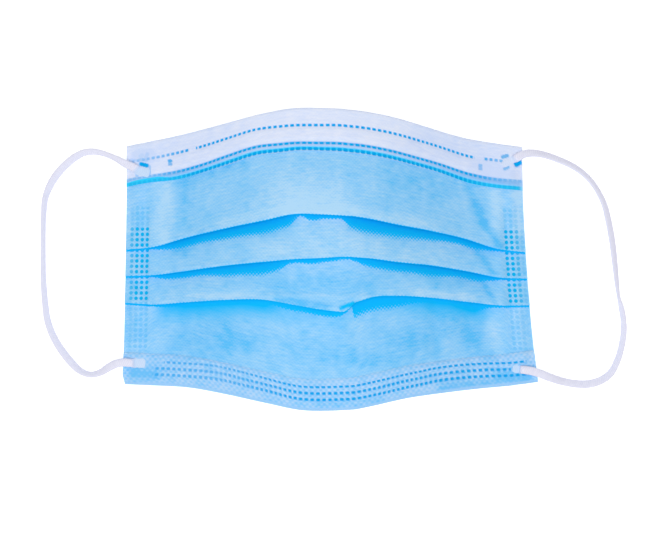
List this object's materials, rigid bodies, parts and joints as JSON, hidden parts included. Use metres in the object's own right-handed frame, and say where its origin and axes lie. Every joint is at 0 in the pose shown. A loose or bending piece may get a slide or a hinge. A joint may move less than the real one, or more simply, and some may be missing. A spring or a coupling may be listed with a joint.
{
  "type": "pleated face mask",
  "caption": "Disposable pleated face mask of blue nonwoven cloth with a white nose band, a pale hem and white elastic ear loops, lying on its back with the pleats part opened.",
  "frame": {"origin": "on the surface that the mask lies on, under the middle of the cloth without its ear loops", "axes": "+X to the right across the face as the outer face is seen, +Y towards the nose edge, +Z out of the mask's outer face"},
  "size_m": [0.2344, 0.1181, 0.0348],
  "materials": {
    "blue_nonwoven": "spunbond polypropylene, light blue, point bonded",
    "white_nonwoven": "spunbond polypropylene, white with a blue cast",
    "pale_hem": "white spunbond over blue, point bonded",
    "white_elastic": "knitted flat elastic, white",
    "welded_elastic": "elastic pressed flat and welded"
  },
  "bodies": {
    "root": {"pleated_panel": "blue_nonwoven", "nose_band": "white_nonwoven", "bottom_hem": "pale_hem", "ear_loop_left": "white_elastic", "ear_loop_right": "white_elastic", "weld_tab_top_left": "welded_elastic", "weld_tab_top_right": "welded_elastic", "weld_tab_bottom_left": "welded_elastic", "weld_tab_bottom_right": "welded_elastic"}
  },
  "joints": []
}
